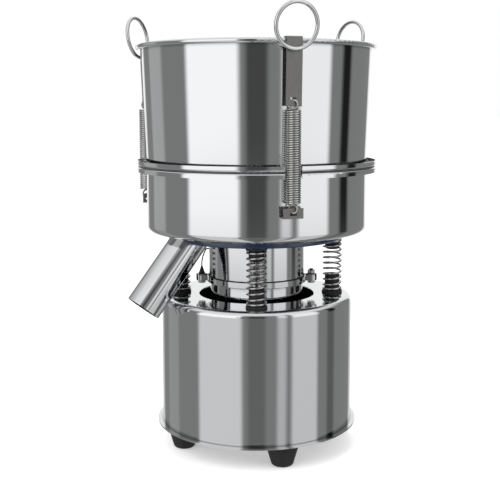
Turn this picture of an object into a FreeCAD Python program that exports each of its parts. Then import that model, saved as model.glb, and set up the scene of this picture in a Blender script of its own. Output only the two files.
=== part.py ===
import FreeCAD, Part
import math
import os

import Sketcher
from FreeCAD import Placement, Rotation, Vector

# Vibrating sieve: a bench machine that shakes powder through a round screen.
#
# Frame: millimetres, +Z up. The origin is on the machine's own axis, in the plane of the feet's soles.
# -Y is the front. An azimuth is counted in degrees from the front towards +X, so 90 is the right-hand side.
#
# From the ground up: rubber feet and bottom plate, drum-shaped base, four compression springs on rubber
# seats, blue carrier tray with the motor hanging below it, collecting pan with its discharge chute, screen
# between two rolled flanges, hopper, and three spring clamps that pull the hopper down on the pan.

SIZES = {
    # feet and bottom plate
    "foot_height": 33.0,
    "foot_top_radius": 21.0,
    "foot_sole_radius": 14.0,
    "foot_collar": 9.0,          # straight part under the plate
    "foot_sole_round": 5.0,
    "foot_hole_radius": 3.2,     # clear hole for an M6 stud
    "foot_azimuth": 18.8,
    "plate_margin": 7.0,         # bottom plate beyond the drum
    "foot_inset": 33.0,          # studs in from the plate's edge
    "bottom_plate_thickness": 2.0,
    "spigot_height": 8.0,        # ring on the bottom plate that centres the drum
    "spigot_clearance": 0.2,
    # base drum
    "drum_radius": 131.0,
    "drum_height": 175.0,
    "drum_wall": 1.5,
    "drum_shoulder": 8.0,
    "mouth_clearance": 15.3,     # motor's cup to the mouth
    "drum_mouth_lip": 6.0,
    # compression springs and their rubber seats
    "spring_clearance": 7.0,     # springs' seats to the motor's ears
    "spring_mean_radius": 12.1,
    "spring_wire_radius": 1.4,
    "spring_length": 73.5,
    "spring_turns": 10.5,
    "seat_flange_radius": 14.0,
    "seat_flange_thickness": 2.5,
    "seat_clearance": 0.7,       # rubber core to the inside of the coils
    "lower_core_height": 24.0,
    "upper_core_height": 15.0,
    "core_chamfer": 2.0,
    # carrier tray
    "tray_margin": 0.5,          # tray beyond the springs' seats
    "tray_depth": 10.0,
    "tray_wall": 3.0,
    "tray_corner": 2.5,
    # collecting pan
    "pan_radius": 150.0,
    "pan_depth": 88.2,
    "sheet": 1.5,                # sheet of pan, hopper and chute
    "pan_corner": 9.0,
    "flange_width": 13.0,
    "flange_depth": 7.0,
    "flange_round": 2.8,
    # discharge chute
    "chute_radius": 24.0,
    "chute_azimuth": -62.0,
    "chute_slope": 51.8,         # degrees below level
    "chute_root_radius": 94.0,   # from the machine's axis, in the pan's floor
    "chute_length": 120.3,
    "chute_clearance": 2.0,      # tray's cut-out round the chute
    # screen
    "gasket_thickness": 1.3,
    "gasket_width": 11.0,        # beyond the pan's wall
    "hoop_clearance": 0.5,
    "screen_hoop_wall": 3.0,
    "screen_hoop_height": 9.0,
    "mesh_thickness": 0.6,
    # hopper
    "hopper_height": 160.4,
    "hopper_step": 0.4,          # hopper's foot inside the pan's wall
    "hopper_flare": 5.4,
    "rim_width": 7.75,
    "rim_height": 6.4,
    "rim_round": 3.0,
    # clamps
    "notch_width": 22.0,
    "notch_clearance": 0.05,
    "clamp_clearance": 0.4,      # extension spring's coils to the hopper's tapered wall
    "lug_pin_drop": 49.5,        # lower hook's bearing point below the pan's top
    "hook_radius": 5.3,          # mean radius of the end hooks
    "coil_outer_radius": 9.3,
    "coil_wire_radius": 1.2,
    "coil_length": 115.0,
    "hook_turn": 45.0,           # degrees between the hooks' plane and the strap
    "lug_width": 25.5,
    "lug_lip": 7.0,              # lip above the bearing point
    "lug_shelf_drop": 5.7,
    "lug_back_rise": 13.5,       # foot against the wall, above the shelf
    "lug_sheet": 1.5,
    "hook_slot_width": 9.0,
    "hook_slack": 0.5,
    "strap_width": 20.0,
    "strap_sheet": 1.5,
    "strap_end_margin": 8.8,     # strap beyond the bearing point
    "strap_bend_rise": 5.2,
    "strap_upright_drop": 22.4,  # below the rim's top
    "strap_rim_clearance": 0.45,
    "tab_clearance": 0.3,
    "tab_reach": 13.0,
    "tab_round": 4.0,
    "ring_mean_radius": 27.5,
    "ring_wire_radius": 2.5,
    "ring_foot_drop": 13.6,      # centre of the ring's wire at its lowest point, below the rim's top
    "ring_lean": 8.0,            # degrees outwards
    # motor
    "can_step": 2.0,             # can beyond the cup
    "can_wall": 3.0,
    "can_height": 57.5,
    "can_top_thickness": 4.0,
    "joint_flange_width": 2.5,
    "joint_flange_thickness": 3.7,
    "cup_radius": 64.0,
    "cup_wall": 3.0,
    "cup_depth": 81.0,
    "cup_floor": 4.0,
    "ear_reach": 7.5,            # bolts beyond the joint's flange
    "ear_radius": 8.0,
    "ear_hole_radius": 3.3,
    "ear_bolt_radius": 3.0,
    "ear_bolt_length": 16.0,
    "hex_across_flats": 10.0,
    "hex_head_height": 4.0,
    "hex_nut_height": 5.0,
    "washer_radius": 8.0,
    "washer_thickness": 1.6,
    "bearing_radius": 17.5,
    "bearing_width": 11.0,
    "bearing_boss_wall": 5.5,
    "shaft_radius": 7.45,
    "shaft_clearance": 0.05,
    "shaft_hole_radius": 10.0,
    "shaft_tail_upper": 7.0,     # beyond the weights
    "shaft_tail_lower": 8.0,
    "stator_bore_radius": 33.0,
    "stator_height": 40.0,
    "stator_lift": 22.0,         # above the cup's underside
    "air_gap": 0.5,
    "winding_height": 5.5,
    "winding_inner_radius": 36.0,
    "winding_clearance": 4.0,    # windings to the inside of the cup
    "end_shield_thickness": 3.0,
    "end_shield_lip": 0.9,       # beyond the outside of the cup
    "weight_clearance": 9.0,     # upper weight to the inside of the can
    "weight_upper_thickness": 24.0,
    "weight_lower_radius": 50.0,
    "weight_lower_thickness": 20.0,
    "weight_hub_radius": 14.0,
    "weight_gap": 6.0,           # weight to the motor's end
    # earth lead
    "lead_radius": 0.9,
    "boot_radius": 4.6,
    "boot_height": 10.0,
    "lead_entry_drop": 17.5,     # below the tray
    "lead_overlap": 0.5,         # wire inside the boot's tip
    "lead_rise": 7.0,            # straight part above the boot
    "lead_lean": 2.5,
    "lead_turn_in": 6.5,         # towards the can at its entry
    "lead_bend": 7.5,
    # switch, cord gland and capacitor
    "switch_rise": 85.0,         # middle of the switch above the drum's foot
    "switch_width": 20.0,
    "switch_tall": 28.0,
    "switch_depth": 22.0,
    "bezel_margin": 3.0,
    "bezel_thickness": 2.5,
    "bezel_wall": 2.5,
    "rocker_clearance": 0.4,
    "rocker_tilt": 10.0,
    "rocker_nose": 3.0,          # face to pivot
    "rocker_belly": 4.0,
    "rocker_pivot_depth": 1.5,
    "gland_rise": 27.0,
    "gland_radius": 8.0,
    "gland_bore_radius": 4.0,
    "gland_nut_radius": 12.0,
    "gland_nut_thickness": 6.0,
    "gland_stand_out": 14.0,
    "gland_reach_in": 12.0,
    "capacitor_radius": 17.5,
    "capacitor_length": 70.0,
    "capacitor_offset": 72.0,
    "clip_sheet": 1.2,
    "clip_width": 16.0,
    "clip_foot": 12.0,
}

FEET = 4
SPRINGS = 4
EARS = 4
CHORDS_PER_TURN = 12
WIRE_SIDES = 6

# name, azimuth of the clamp and the turn of its hand-welded ring, both in degrees
CLAMPS = (("front", 16.0, 9.0), ("back", 127.0, 0.0), ("left", -105.0, -7.0))

doc = FreeCAD.newDocument("vibrating_sieve")
sheet = doc.addObject("Spreadsheet::Sheet", "Dims")


class Size:
    """A dimension: its number, and the formula over the sheet's cells that gives it."""

    def __init__(self, formula, number):
        self.formula = formula
        self.number = number

    def joined(self, sign, other, number, flipped=False):
        pair = (formula_of(other), self.formula) if flipped else (self.formula, formula_of(other))
        return Size("(%s %s %s)" % (pair[0], sign, pair[1]), number)

    def __add__(self, other):
        return self.joined("+", other, self.number + number_of(other))

    def __radd__(self, other):
        return self.joined("+", other, self.number + number_of(other), True)

    def __sub__(self, other):
        return self.joined("-", other, self.number - number_of(other))

    def __rsub__(self, other):
        return self.joined("-", other, number_of(other) - self.number, True)

    def __mul__(self, other):
        return self.joined("*", other, self.number * number_of(other))

    def __rmul__(self, other):
        return self.joined("*", other, self.number * number_of(other), True)

    def __truediv__(self, other):
        return self.joined("/", other, self.number / number_of(other))

    def __neg__(self):
        return Size("(0 - %s)" % self.formula, -self.number)


def formula_of(size):
    return size.formula if isinstance(size, Size) else "%.9f" % size


def number_of(size):
    return size.number if isinstance(size, Size) else float(size)


class Dimensions:
    """Every cell of the sheet as a Size of the same name."""

    def __init__(self, sizes):
        for row, (name, number) in enumerate(sizes.items(), start=1):
            sheet.set("A%d" % row, name)
            sheet.set("B%d" % row, str(number))
            sheet.setAlias("B%d" % row, name)
            setattr(self, name, Size("Dims.%s" % name, number))


d = Dimensions(SIZES)
doc.recompute()

nodes = []


def keep(feature, label):
    """Names a finished sub-part and puts it on the list of those to write."""
    feature.Label = label
    nodes.append(feature)
    return feature


def bind(feature, **sizes):
    """Sets properties and ties each one to its formula."""
    for name, size in sizes.items():
        setattr(feature, name, number_of(size))
        if isinstance(size, Size):
            feature.setExpression(name, size.formula)
    return feature


def place(feature, x=0, y=0, z=0, rotation=None):
    """Puts a feature at x, y, z, each tied to its formula, with a turn about that point."""
    corner = Vector(number_of(x), number_of(y), number_of(z))
    feature.Placement = Placement(corner, rotation or Rotation())
    for name, size in (("x", x), ("y", y), ("z", z)):
        if isinstance(size, Size):
            feature.setExpression("Placement.Base.%s" % name, size.formula)
    return feature


def outward(azimuth, reach):
    """The x and y of a point at a distance from the axis, as sizes."""
    angle = math.radians(number_of(azimuth))
    return reach * math.sin(angle), reach * -math.cos(angle)


def facing(azimuth):
    """Turns a piece that is drawn with +X outwards so that it faces an azimuth."""
    return Rotation(Vector(0, 0, 1), number_of(azimuth) - 90)


# ---------------------------------------------------------------- sketches and PartDesign bodies


def new_body(name):
    body = doc.addObject("PartDesign::Body", name)
    body.Label = name
    return body


def origin_plane(body, role):
    return next(plane for plane in body.Origin.OriginFeatures if plane.Role == role)


def new_sketch(body, name, role, lift=0):
    """A sketch on one of the body's own origin planes, lifted off it."""
    sketch = body.newObject("Sketcher::SketchObject", name)
    sketch.AttachmentSupport = [(origin_plane(body, role), "")]
    sketch.MapMode = "FlatFace"
    sketch.AttachmentOffset = Placement(Vector(0, 0, number_of(lift)), Rotation())
    if isinstance(lift, Size):
        sketch.setExpression("AttachmentOffset.Base.z", lift.formula)
    return sketch


def pin_point(sketch, geometry, position, x, y):
    """Holds a sketch point at x, y, with one constraint along each axis."""
    for kind, size, axis in (("DistanceX", x, -2), ("DistanceY", y, -1)):
        if number_of(size) == 0:
            sketch.addConstraint(Sketcher.Constraint("PointOnObject", geometry, position, axis))
            continue
        index = sketch.addConstraint(Sketcher.Constraint(kind, -1, 1, geometry, position, number_of(size)))
        if isinstance(size, Size):
            sketch.setExpression("Constraints[%d]" % index, size.formula)


def draw_outline(sketch, points):
    """A closed outline of straight lines through points."""
    first = sketch.GeometryCount
    count = len(points)
    spots = [Vector(number_of(x), number_of(y), 0) for x, y in points]
    for i in range(count):
        sketch.addGeometry(Part.LineSegment(spots[i], spots[(i + 1) % count]), False)
    for i in range(count):
        after = first + (i + 1) % count
        sketch.addConstraint(Sketcher.Constraint("Coincident", first + i, 2, after, 1))
    for i, (x, y) in enumerate(points):
        pin_point(sketch, first + i, 1, x, y)


def draw_circle(sketch, x, y, radius):
    centre = Vector(number_of(x), number_of(y), 0)
    circle = sketch.addGeometry(Part.Circle(centre, Vector(0, 0, 1), number_of(radius)), False)
    pin_point(sketch, circle, 3, x, y)
    index = sketch.addConstraint(Sketcher.Constraint("Radius", circle, number_of(radius)))
    if isinstance(radius, Size):
        sketch.setExpression("Constraints[%d]" % index, radius.formula)


def turned(name, points):
    """A body turned about the Z axis from an outline in radius and height."""
    body = new_body(name)
    sketch = new_sketch(body, name + "_profile", "XZ_Plane")
    draw_outline(sketch, points)
    revolution = body.newObject("PartDesign::Revolution", name + "_turned")
    revolution.Profile = sketch
    revolution.ReferenceAxis = (sketch, ["V_Axis"])
    revolution.Angle = 360
    body.Tip = revolution
    sketch.Visibility = False
    doc.recompute()
    return body


def circle_edges(shape, spots):
    """The names of the round edges about the Z axis that lie at the given radii and heights."""
    names = []
    for i, edge in enumerate(shape.Edges, start=1):
        if not isinstance(edge.Curve, Part.Circle):
            continue
        for radius, height in spots:
            same_radius = abs(edge.Curve.Radius - number_of(radius)) < 1e-4
            if same_radius and abs(edge.Curve.Center.z - number_of(height)) < 1e-4:
                names.append("Edge%d" % i)
    return names


def rounded(body, radius, *spots):
    """Rounds the round edges of a turned body."""
    base = body.Tip
    names = circle_edges(base.Shape, spots)
    if len(names) < len(spots):
        raise RuntimeError("%s: %d of %d edges found to round" % (body.Label, len(names), len(spots)))
    fillet = body.newObject("PartDesign::Fillet", body.Name + "_round")
    fillet.Base = (base, names)
    bind(fillet, Radius=radius)
    body.Tip = fillet
    doc.recompute()
    return body


def round_edges(body, name, radius, middles):
    """Rounds the edges of a body whose middles lie at the given x, y and z; None is any height."""
    base = body.Tip
    names = []
    for i, edge in enumerate(base.Shape.Edges, start=1):
        for spot in middles:
            middle = edge.CenterOfMass
            misses = [abs(have - number_of(want)) for have, want in zip(middle, spot) if want is not None]
            if max(misses) < 1e-4:
                names.append("Edge%d" % i)
    if len(names) < len(middles):
        raise RuntimeError("%s: %d of %d edges found to round" % (name, len(names), len(middles)))
    fillet = body.newObject("PartDesign::Fillet", name)
    fillet.Base = (base, names)
    bind(fillet, Radius=radius)
    body.Tip = fillet
    doc.recompute()
    return body


def drilled(body, name, lift, circles, depth, count=1):
    """Cuts round holes upwards from a level, repeated evenly about the Z axis."""
    before = body.Shape.Volume
    sketch = new_sketch(body, name + "_spots", "XY_Plane", lift)
    for x, y, radius in circles:
        draw_circle(sketch, x, y, radius)
    pocket = body.newObject("PartDesign::Pocket", name)
    pocket.Profile = sketch
    pocket.Type = "Length"
    bind(pocket, Length=depth)
    pocket.Reversed = True
    body.Tip = pocket
    if count > 1:
        doc.recompute()
        pattern = body.newObject("PartDesign::PolarPattern", name + "_ring")
        pattern.Originals = [pocket]
        pattern.Axis = (sketch, ["N_Axis"])
        pattern.Angle = 360
        pattern.Occurrences = count
        body.Tip = pattern
    doc.recompute()
    if body.Shape.Volume > before - 1:
        raise RuntimeError("%s cut nothing" % name)
    return body


def bent_sheet(name, points, width):
    """A body whose side outline, in reach and height, is padded evenly to both sides."""
    body = new_body(name)
    sketch = new_sketch(body, name + "_side", "XZ_Plane")
    draw_outline(sketch, points)
    pad = body.newObject("PartDesign::Pad", name + "_pad")
    pad.Profile = sketch
    pad.Midplane = True
    bind(pad, Length=width)
    body.Tip = pad
    doc.recompute()
    return body


# ---------------------------------------------------------------- Part primitives and booleans


def cylinder(name, radius, height, z=0, x=0, y=0, rotation=None):
    feature = doc.addObject("Part::Cylinder", name)
    bind(feature, Radius=radius, Height=height)
    return place(feature, x, y, z, rotation)


def box(name, length, width, height, x=0, y=0, z=0, rotation=None):
    feature = doc.addObject("Part::Box", name)
    bind(feature, Length=length, Width=width, Height=height)
    return place(feature, x, y, z, rotation)


def local_box(name, azimuth, near, far, width, low, high):
    """A box between two reaches and two heights, centred on an azimuth."""
    turn = facing(azimuth)
    corner = turn.multVec(Vector(number_of(near), -number_of(width) / 2, number_of(low)))
    feature = box(name, far - near, width, high - low, rotation=turn)
    feature.Placement.Base = corner
    return feature


def cut(name, base, tool):
    feature = doc.addObject("Part::Cut", name)
    feature.Base = base
    feature.Tool = tool
    return feature


def fuse(name, *pieces):
    feature = doc.addObject("Part::MultiFuse", name)
    feature.Shapes = list(pieces)
    return feature


def common(name, first, second):
    feature = doc.addObject("Part::MultiCommon", name)
    feature.Shapes = [first, second]
    return feature


def ring(name, outer, inner, height, z=0):
    """A flat-ended tube about the Z axis."""
    bore = cylinder(name + "_bore", inner, height, z)
    return cut(name, cylinder(name + "_blank", outer, height, z), bore)


def free_shape(name, shape, placement=None):
    feature = doc.addObject("Part::Feature", name)
    feature.Shape = shape
    if placement:
        feature.Placement = placement
    return feature


# ---------------------------------------------------------------- levels that the whole machine shares

drum_foot = d.foot_height + d.bottom_plate_thickness
drum_top = drum_foot + d.drum_height
spring_foot = drum_top + d.seat_flange_thickness
spring_head = spring_foot + d.spring_length
tray_underside = spring_head + d.seat_flange_thickness
pan_floor = tray_underside + d.tray_depth
pan_top = pan_floor + d.pan_depth
hopper_foot = pan_top + d.gasket_thickness
hopper_top = hopper_foot + d.hopper_height
joint_level = tray_underside - d.can_height
cup_bottom = joint_level - d.cup_depth

# the motor's cup gives the motor, the mouth round it, the springs and the tray their radii
mouth_radius = d.cup_radius + d.mouth_clearance
can_radius = d.cup_radius + d.can_step
joint_radius = can_radius + d.joint_flange_width
ear_circle = joint_radius + d.ear_reach
shield_radius = d.cup_radius + d.end_shield_lip
spring_circle = ear_circle + d.ear_radius + d.spring_clearance + d.seat_flange_radius
tray_radius = spring_circle + d.seat_flange_radius + d.tray_margin

# the drum gives the bottom plate and the feet theirs
plate_radius = d.drum_radius + d.plate_margin
foot_circle = plate_radius - d.foot_inset

# the pan's wall gives the flanges, the screen and the hopper theirs
flange_radius = d.pan_radius + d.flange_width
gasket_radius = d.pan_radius + d.gasket_width
hoop_radius = d.pan_radius - d.sheet - d.hoop_clearance
hopper_foot_radius = d.pan_radius - d.hopper_step
hopper_top_radius = hopper_foot_radius + d.hopper_flare
rim_radius = hopper_top_radius + d.rim_width
hopper_taper = d.hopper_flare / (d.hopper_height - d.rim_height - d.sheet)

switch_level = drum_foot + d.switch_rise
gland_level = drum_foot + d.gland_rise
core_radius = d.spring_mean_radius - d.spring_wire_radius - d.seat_clearance


# ---------------------------------------------------------------- base


def make_foot(index):
    """A rubber foot: a collar under the plate, then a taper to a smaller rounded sole, with a stud hole."""
    body = turned("foot_%d" % index, (
        (d.foot_hole_radius, 0),
        (d.foot_sole_radius, 0),
        (d.foot_top_radius, d.foot_height - d.foot_collar),
        (d.foot_top_radius, d.foot_height),
        (d.foot_hole_radius, d.foot_height),
    ))
    rounded(body, d.foot_sole_round, (d.foot_sole_radius, 0))
    x, y = outward(d.foot_azimuth + 360 / FEET * index, foot_circle)
    return keep(place(body, x, y), "foot_%d" % index)


def make_bottom_plate():
    """A flat round plate with a ring that centres the drum, and a hole above each foot."""
    spigot = d.drum_radius - d.drum_wall - d.spigot_clearance
    body = turned("bottom_plate", (
        (0, d.foot_height),
        (plate_radius, d.foot_height),
        (plate_radius, drum_foot),
        (spigot, drum_foot),
        (spigot, drum_foot + d.spigot_height),
        (spigot - d.drum_wall, drum_foot + d.spigot_height),
        (spigot - d.drum_wall, drum_foot),
        (0, drum_foot),
    ))
    x, y = outward(d.foot_azimuth, foot_circle)
    drilled(body, "stud_holes", d.foot_height, [(x, y, d.foot_hole_radius)], d.bottom_plate_thickness, FEET)
    return keep(body, "bottom_plate")


def make_drum():
    """The base's drum, one drawn sheet: rounded shoulder, flat top, and a mouth with its edge turned down."""
    inside = d.drum_radius - d.drum_wall
    body = turned("drum_blank", (
        (inside, drum_foot),
        (d.drum_radius, drum_foot),
        (d.drum_radius, drum_top),
        (mouth_radius, drum_top),
        (mouth_radius, drum_top - d.drum_mouth_lip),
        (mouth_radius + d.drum_wall, drum_top - d.drum_mouth_lip),
        (mouth_radius + d.drum_wall, drum_top - d.drum_wall),
        (inside, drum_top - d.drum_wall),
    ))
    rounded(body, d.drum_shoulder, (d.drum_radius, drum_top))
    rounded(body, d.drum_shoulder - d.drum_wall, (inside, drum_top - d.drum_wall))
    rounded(body, d.drum_wall, (mouth_radius, drum_top))
    window = local_box(
        "switch_window", 180, d.drum_radius - d.switch_depth, d.drum_radius + d.switch_depth, d.switch_width,
        switch_level - d.switch_tall / 2, switch_level + d.switch_tall / 2)
    gland_hole = cylinder(
        "gland_hole", d.gland_radius, d.gland_reach_in + d.gland_stand_out, gland_level, 0,
        d.drum_radius - d.gland_reach_in,
        Rotation(Vector(1, 0, 0), -90))
    return keep(cut("drum", body, fuse("drum_openings", window, gland_hole)), "base_drum")


def make_seat(name, index, core_height, level, upside_down):
    """A rubber spring seat: a round flange with a core that the end coils fit round."""
    top = d.seat_flange_thickness + core_height
    body = turned("%s_%d" % (name, index), (
        (0, 0),
        (d.seat_flange_radius, 0),
        (d.seat_flange_radius, d.seat_flange_thickness),
        (core_radius, d.seat_flange_thickness),
        (core_radius, top - d.core_chamfer),
        (core_radius - d.core_chamfer, top),
        (0, top),
    ))
    x, y = outward(360 / SPRINGS * index, spring_circle)
    turn = Rotation(Vector(1, 0, 0), 180) if upside_down else None
    return keep(place(body, x, y, level, turn), "%s_%d" % (name, index))


def spring_path():
    """Points along the spring's centre line: a closed turn at each end, open turns between."""
    turns = d.spring_turns.number
    wire = 2 * d.spring_wire_radius.number
    closed_pitch = wire + 0.1
    open_pitch = (d.spring_length.number - wire - 2 * closed_pitch) / (turns - 2)
    points = []
    for i in range(round(turns * CHORDS_PER_TURN) + 1):
        turn = i / CHORDS_PER_TURN
        lower = min(turn, 1) * closed_pitch
        middle = min(max(turn - 1, 0), turns - 2) * open_pitch
        upper = max(turn - turns + 1, 0) * closed_pitch
        angle = 2 * math.pi * turn
        reach = d.spring_mean_radius.number
        height = wire / 2 + lower + middle + upper
        points.append(Vector(reach * math.cos(angle), reach * math.sin(angle), height))
    return points


def faceted_wire(points, radius, sides):
    """A round wire along a line of chords, as flat facets that meet in mitres."""
    runs = [(after - before).normalize() for before, after in zip(points, points[1:])]
    side = runs[0].cross(Vector(0, 0, 1)).normalize()
    up = side.cross(runs[0])
    section = []
    for k in range(sides):
        angle = math.pi / 2 + 2 * math.pi * k / sides
        section.append(points[0] + side * radius * math.cos(angle) + up * radius * math.sin(angle))
    faces = [Part.Face(Part.makePolygon(section + section[:1]))]
    for i, run in enumerate(runs):
        end = points[i + 1]
        plane = run + runs[i + 1] if i + 1 < len(runs) else run
        carried = [spot + run * ((end - spot).dot(plane) / run.dot(plane)) for spot in section]
        for k in range(sides):
            after = (k + 1) % sides
            corners = [section[k], section[after], carried[after], carried[k], section[k]]
            faces.append(Part.Face(Part.makePolygon(corners)))
        section = carried
    faces.append(Part.Face(Part.makePolygon(section + section[:1])))
    shell = Part.Shell(faces)
    shell.sewShape()
    solid = Part.Solid(shell)
    return solid if solid.Volume > 0 else solid.reversed()


def make_springs():
    """Four compression springs with closed ends, standing on the lower seats' flanges."""
    coil = faceted_wire(spring_path(), d.spring_wire_radius.number, WIRE_SIDES)
    for index in range(SPRINGS):
        x, y = outward(360 / SPRINGS * index, spring_circle)
        corner = Vector(x.number, y.number, spring_foot.number)
        keep(free_shape("main_spring", coil, Placement(corner, Rotation())), "main_spring_%d" % index)


def make_switch():
    """A rocker switch in the back of the drum: a bezel with its housing, and the rocker that tips in it."""
    wide = d.switch_width - 2 * d.rocker_clearance
    tall = d.switch_tall - 2 * d.rocker_clearance
    low = switch_level - tall / 2
    high = switch_level + tall / 2
    front = d.drum_radius + d.bezel_thickness
    back = d.drum_radius - d.switch_depth
    collar = local_box(
        "bezel_collar", 180, d.drum_radius - 1, front, wide + 2 * d.bezel_margin,
        low - d.bezel_margin, high + d.bezel_margin)
    seated = cut("bezel_seated", collar, cylinder("bezel_seat", d.drum_radius, drum_top))
    housing = local_box("switch_housing", 180, back, front, wide, low, high)
    inner = wide - 2 * d.bezel_wall
    well = local_box(
        "switch_well", 180, back + d.bezel_wall, front + 1, inner, low + d.bezel_wall, high - d.bezel_wall)
    keep(cut("bezel", fuse("bezel_solid", seated, housing), well), "switch_bezel")

    # side outline of the rocker about its pivot: a shallow V in front, a narrower belly behind
    tilt_angle = math.radians(d.rocker_tilt.number)
    room = tall / 2 - d.bezel_wall - d.rocker_clearance
    half = (room - d.rocker_nose * math.sin(tilt_angle)) * math.cos(tilt_angle)
    face = d.rocker_nose + half * math.tan(tilt_angle)
    body = bent_sheet("rocker", (
        (-d.rocker_belly, d.rocker_belly - half),
        (0, -half),
        (face, -half),
        (d.rocker_nose, 0),
        (face, half),
        (0, half),
        (-d.rocker_belly, half - d.rocker_belly),
    ), inner - 2 * d.rocker_clearance)
    pivot = d.drum_radius - d.rocker_pivot_depth
    tilt = Rotation(Vector(0, 1, 0), d.rocker_tilt.number)
    place(body, 0, pivot, switch_level, facing(180).multiply(tilt))
    keep(body, "switch_rocker")


def make_cord_gland():
    """The cord's gland at the back: a bush through the drum with a round nut outside and a plain bore."""
    turn = Rotation(Vector(1, 0, 0), -90)
    reach = d.gland_reach_in + d.gland_stand_out
    start = d.drum_radius - d.gland_reach_in
    bush = cylinder("gland_bush", d.gland_radius - 0.1, reach, gland_level, 0, start, turn)
    nut_blank = cylinder(
        "gland_nut_blank", d.gland_nut_radius, d.gland_nut_thickness + 1, gland_level, 0,
        d.drum_radius - 1, turn)
    nut = cut("gland_nut", nut_blank, cylinder("gland_seat", d.drum_radius, drum_top))
    bore = cylinder("gland_bore", d.gland_bore_radius, reach, gland_level, 0, start, turn)
    keep(cut("gland", fuse("gland_solid", bush, nut), bore), "cord_gland")


def make_capacitor():
    """The motor's run capacitor lies on the bottom plate under a saddle clip."""
    turn = Rotation(Vector(0, 1, 0), 90)
    axis = drum_foot + d.capacitor_radius
    can = cylinder(
        "capacitor_can", d.capacitor_radius, d.capacitor_length, axis, d.capacitor_length / -2,
        d.capacitor_offset, turn)
    keep(can, "capacitor")
    outer = d.capacitor_radius + d.clip_sheet
    arch_rod = cylinder("clip_rod", outer, d.clip_width, axis, d.clip_width / -2, d.capacitor_offset, turn)
    upper = box(
        "clip_upper", d.clip_width, 2 * outer, outer, d.clip_width / -2, d.capacitor_offset - outer, axis)
    arch = common("clip_arch", arch_rod, upper)
    legs = box(
        "clip_legs", d.clip_width, 2 * outer, d.capacitor_radius, d.clip_width / -2,
        d.capacitor_offset - outer, drum_foot)
    feet = box(
        "clip_feet", d.clip_width, 2 * (outer + d.clip_foot), d.clip_sheet, d.clip_width / -2,
        d.capacitor_offset - outer - d.clip_foot, drum_foot)
    hollow = cylinder(
        "clip_hollow", d.capacitor_radius, d.clip_width, axis, d.clip_width / -2, d.capacitor_offset, turn)
    below = box(
        "clip_below", d.clip_width, 2 * d.capacitor_radius, d.capacitor_radius, d.clip_width / -2,
        d.capacitor_offset - d.capacitor_radius, drum_foot)
    solid = fuse("clip_solid", arch, legs, feet)
    keep(cut("clip", solid, fuse("clip_room", hollow, below)), "capacitor_clip")


# ---------------------------------------------------------------- shaken part: tray, pan, chute, screen, hopper

chute_x, chute_y = outward(d.chute_azimuth, d.chute_root_radius)
chute_turn = facing(d.chute_azimuth).multiply(Rotation(Vector(0, 1, 0), 90 + d.chute_slope.number))


def chute_rod(name, radius):
    """A rod on the chute's axis, from well above the pan's floor down to the mouth."""
    above = 2.5 * d.chute_radius
    rod = cylinder(name, radius, d.chute_length + above, rotation=chute_turn)
    start = Vector(chute_x.number, chute_y.number, pan_floor.number)
    rod.Placement.Base = start - chute_turn.multVec(Vector(0, 0, above.number))
    return rod


def clamp_notches(name, wall):
    """Three boxes, one for each clamp's spring, that open the flanges down to a wall."""
    boxes = []
    for clamp, azimuth, _ in CLAMPS:
        boxes.append(local_box(
            "%s_%s" % (name, clamp), azimuth, wall + d.notch_clearance, flange_radius + d.flange_width, d.notch_width,
            pan_top - 2 * d.flange_depth, hopper_foot + 2 * d.flange_depth))
    return fuse(name, *boxes)


def make_tray():
    """The blue carrier tray, pressed from plate: flat floor, upright rim, and a cut-out round the chute."""
    body = turned("tray_blank", (
        (0, tray_underside),
        (tray_radius, tray_underside),
        (tray_radius, pan_floor),
        (tray_radius - d.tray_wall, pan_floor),
        (tray_radius - d.tray_wall, tray_underside + d.tray_wall),
        (0, tray_underside + d.tray_wall),
    ))
    rounded(body, d.tray_corner, (tray_radius, tray_underside))
    return keep(cut("tray", body, chute_rod("tray_room", d.chute_radius + d.chute_clearance)), "carrier_tray")


def make_pan():
    """The collecting pan: flat floor, rounded corner, upright wall, and a flange with its edge turned down."""
    inside = d.pan_radius - d.sheet
    lip = flange_radius - d.sheet
    body = turned("pan_blank", (
        (0, pan_floor),
        (d.pan_radius, pan_floor),
        (d.pan_radius, pan_top - d.sheet),
        (lip, pan_top - d.sheet),
        (lip, pan_top - d.flange_depth),
        (flange_radius, pan_top - d.flange_depth),
        (flange_radius, pan_top),
        (inside, pan_top),
        (inside, pan_floor + d.sheet),
        (0, pan_floor + d.sheet),
    ))
    rounded(body, d.pan_corner, (d.pan_radius, pan_floor))
    rounded(body, d.pan_corner - d.sheet, (inside, pan_floor + d.sheet))
    rounded(body, d.flange_round, (flange_radius, pan_top))
    rounded(body, d.flange_round - d.sheet, (lip, pan_top - d.sheet))
    outlet = chute_rod("pan_outlet", d.chute_radius - d.sheet)
    openings = fuse("pan_openings", outlet, clamp_notches("pan_notch", d.pan_radius))
    return keep(cut("pan", body, openings), "collecting_pan")


def make_chute():
    """The discharge chute: a plain tube, square at its mouth and trimmed to the pan's floor."""
    wall = cut("chute_wall", chute_rod("chute_out", d.chute_radius), chute_rod("chute_in", d.chute_radius - d.sheet))
    reach = d.pan_radius + d.chute_length
    above = box("chute_trim", 2 * reach, 2 * reach, d.chute_length, -reach, -reach, pan_floor)
    return keep(cut("chute", wall, above), "discharge_chute")


def make_screen():
    """The screen: a silicone gasket between the flanges, a steel hoop in it, and the wire cloth."""
    gasket = ring("gasket_ring", gasket_radius, hoop_radius, d.gasket_thickness, pan_top)
    keep(cut("gasket", gasket, clamp_notches("gasket_notch", d.pan_radius)), "screen_gasket")
    inner = hoop_radius - d.screen_hoop_wall
    low = pan_top + d.gasket_thickness / 2 - d.screen_hoop_height / 2
    keep(ring("hoop", hoop_radius, inner, d.screen_hoop_height, low), "screen_hoop")
    keep(cylinder("cloth", inner, d.mesh_thickness, pan_top), "screen_mesh")


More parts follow.
